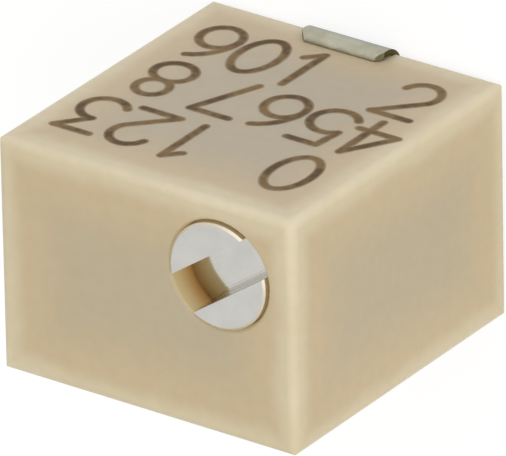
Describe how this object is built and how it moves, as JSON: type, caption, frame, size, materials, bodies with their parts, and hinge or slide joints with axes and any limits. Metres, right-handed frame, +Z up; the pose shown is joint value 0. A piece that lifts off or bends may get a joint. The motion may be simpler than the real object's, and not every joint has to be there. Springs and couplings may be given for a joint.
{
  "type": "trimmer potentiometer",
  "caption": "Sealed surface-mount trimmer: a slotted top screw turns a worm wheel whose wiper sweeps a resistive arc between hooked terminals.",
  "frame": {"origin": "middle of the body's footprint, on the board plane that the terminals' undersides stand on", "axes": "+Z up from the board, along the adjustment screw's axis towards its slot; -Y out of the marked front, which the middle terminal hooks over; +X to the right when the front is seen with the screw at the upper left"},
  "size_m": [0.0048, 0.0038, 0.0051],
  "materials": {
    "housing_plastic": "moulded, slightly translucent",
    "sealing_compound": "cast",
    "screw_metal": "satin nickel",
    "seal_rubber": "matte",
    "clip_steel": "satin",
    "wheel_plastic": "moulded",
    "wiper_metal": "bright",
    "alumina": "fired",
    "resistor_print": "fired print",
    "conductor_print": "fired silver print",
    "terminal_tin": "matte tin",
    "solder": "satin"
  },
  "bodies": {
    "body": {"housing": "housing_plastic", "back_seal": "sealing_compound", "retaining_clip": "clip_steel", "substrate": "alumina", "resistive_track": "resistor_print", "collector_track": "conductor_print", "end_track_1": "conductor_print", "end_track_3": "conductor_print", "terminal_1": "terminal_tin", "terminal_2": "terminal_tin", "terminal_3": "terminal_tin", "solder_joint_1": "solder", "solder_joint_2": "solder", "solder_joint_3": "solder"},
    "screw": {"adjustment_screw": "screw_metal", "seal_ring": "seal_rubber"},
    "rotor": {"worm_wheel": "wheel_plastic", "wiper": "wiper_metal"}
  },
  "joints": [
    {"name": "screw_turn", "type": "hinge", "parent": "body", "child": "screw", "pos_m": [-0.0012, -0.00065, 0.0051], "axis": [0, 0, 1], "range_deg": [-900, 900]},
    {"name": "rotor_turn", "type": "hinge", "parent": "body", "child": "rotor", "pos_m": [0.00049, -0.00065, 0.00203], "axis": [0, 1, 0], "range_deg": [-128.6, 128.6]}
  ],
  "couplings": [
    {"joint": "rotor_turn", "follows": "screw_turn", "ratio": -0.14286}
  ]
}
